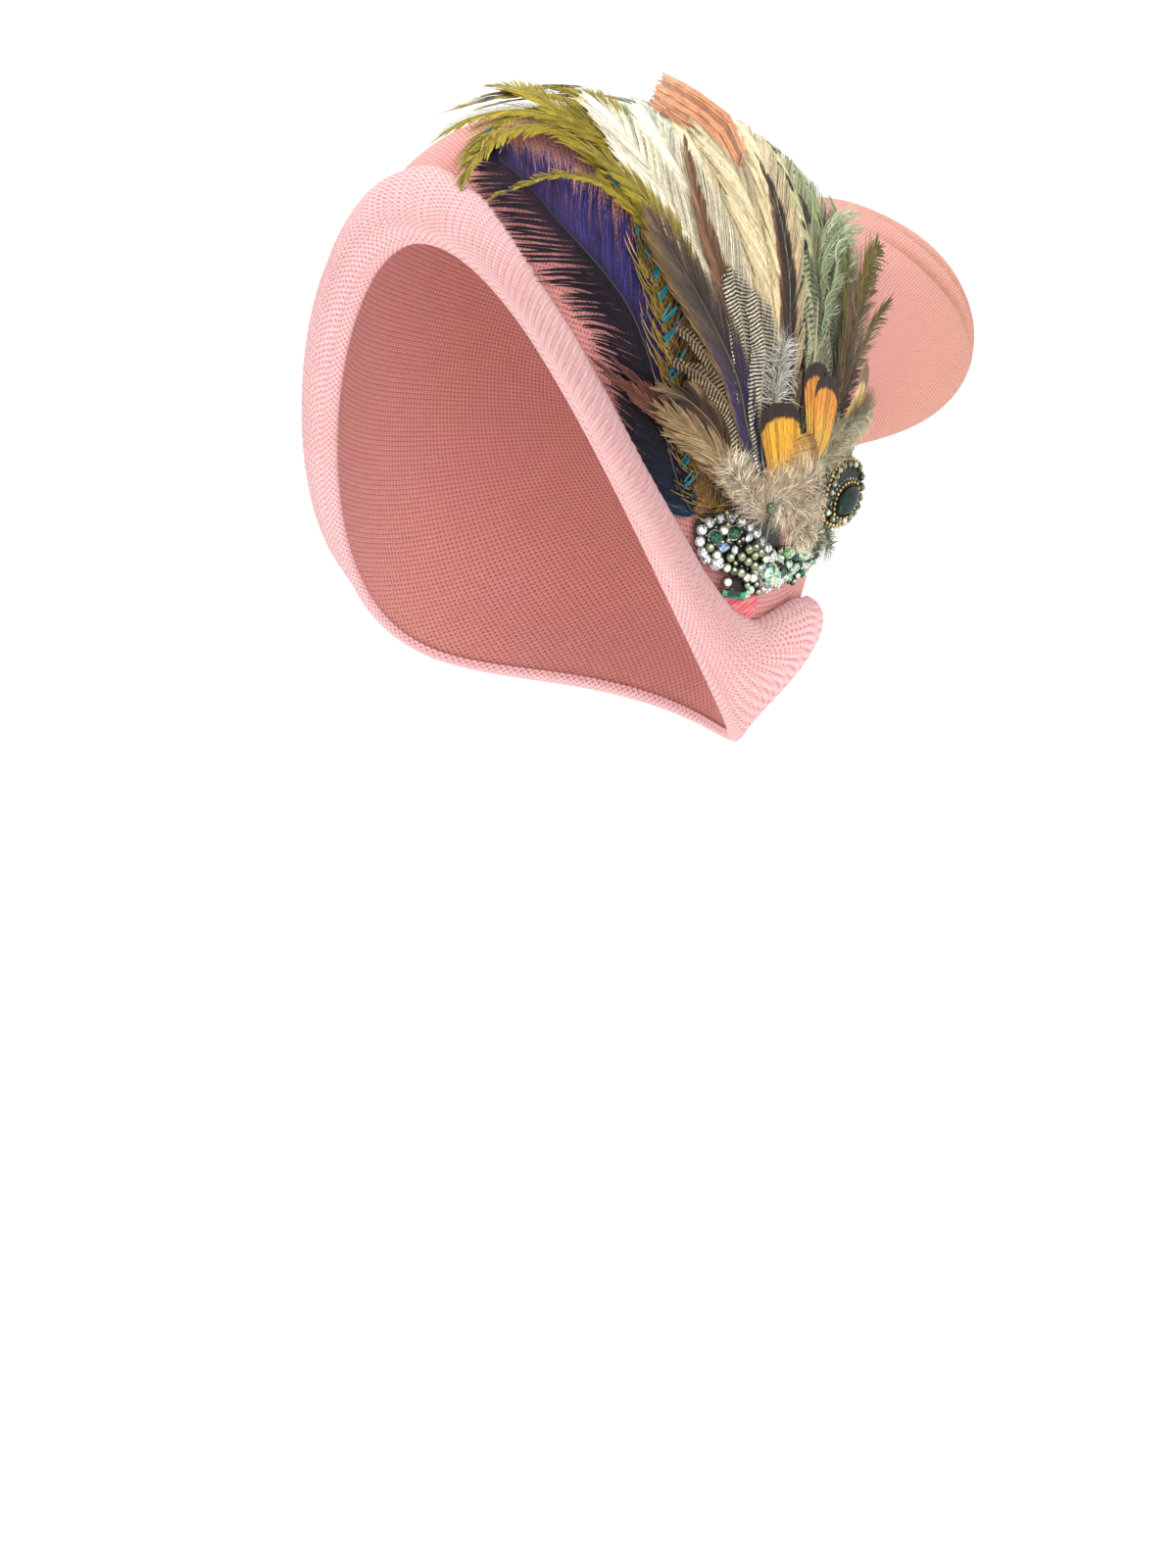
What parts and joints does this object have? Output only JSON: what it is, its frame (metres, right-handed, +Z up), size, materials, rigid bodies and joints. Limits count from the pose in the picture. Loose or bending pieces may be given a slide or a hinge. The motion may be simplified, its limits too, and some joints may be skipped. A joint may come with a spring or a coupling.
{
  "type": "flapper beanie",
  "caption": "Knit beanie with a rolled brim and a soft back pouch, trimmed over the left side with a fan of feathers and a beaded motif.",
  "frame": {"origin": "middle of the head opening at the height of the front edge, where the head seats", "axes": "+Z up, front of the hat to -Y, wearer's left to +X"},
  "size_m": [0.1901, 0.2702, 0.1998],
  "materials": {
    "knit_pink": "soft mesh knit",
    "brim_pink": "soft ribbed knit",
    "felt_black": "felt",
    "feather_pale": "feather",
    "feather_green": "feather",
    "feather_peach": "feather",
    "feather_navy": "feather",
    "feather_brown": "feather",
    "feather_barred": "barred feather",
    "feather_gold": "feather",
    "down_beige": "down",
    "beading": "pearls and rhinestones on black ground",
    "crystal_green": "cut crystal",
    "crystal_clear": "iridescent cut crystal",
    "cabochon": "polished",
    "satin_pink": "satin",
    "pearl_green": "pearl"
  },
  "bodies": {
    "root": {"knit_crown": "knit_pink", "rolled_brim": "brim_pink", "felt_backing": "felt_black", "feather_mint": "feather_pale", "feather_green_edge": "feather_green", "herl_olive": "feather_green", "biot_peach": "feather_peach", "sword_olive_back": "feather_green", "hackle_green": "feather_pale", "plume_navy": "feather_navy", "hackle_cream_back": "feather_pale", "sword_olive_middle": "feather_green", "hackle_black_tip": "feather_brown", "sword_olive_front": "feather_green", "feather_cream": "feather_pale", "flank_barred_back": "feather_barred", "hackle_slate": "feather_brown", "hackle_brown_tip": "feather_brown", "hackle_dark_edge": "feather_brown", "flank_barred_middle": "feather_barred", "hackle_tan_low": "feather_brown", "flank_barred_front": "feather_barred", "hackle_tan_wide": "feather_brown", "tippet_gold_middle": "feather_gold", "tippet_gold_back": "feather_gold", "tippet_gold_edge": "feather_gold", "tippet_gold_low": "feather_gold", "fluff_grey": "down_beige", "marabou_olive": "down_beige", "marabou_beige": "down_beige", "pear_motif": "beading", "pearl_strip": "beading", "cabochon_leaf": "beading", "cabochon_green": "cabochon", "crystal_green_left": "crystal_green", "crystal_green_right": "crystal_green", "baguette_green": "crystal_green", "crystal_blue_drop": "crystal_clear", "rhinestone_large": "crystal_clear", "chaton_iridescent": "crystal_clear", "crystal_iridescent": "crystal_clear", "satin_scrap": "satin_pink", "hat_pin": "pearl_green"}
  },
  "joints": []
}
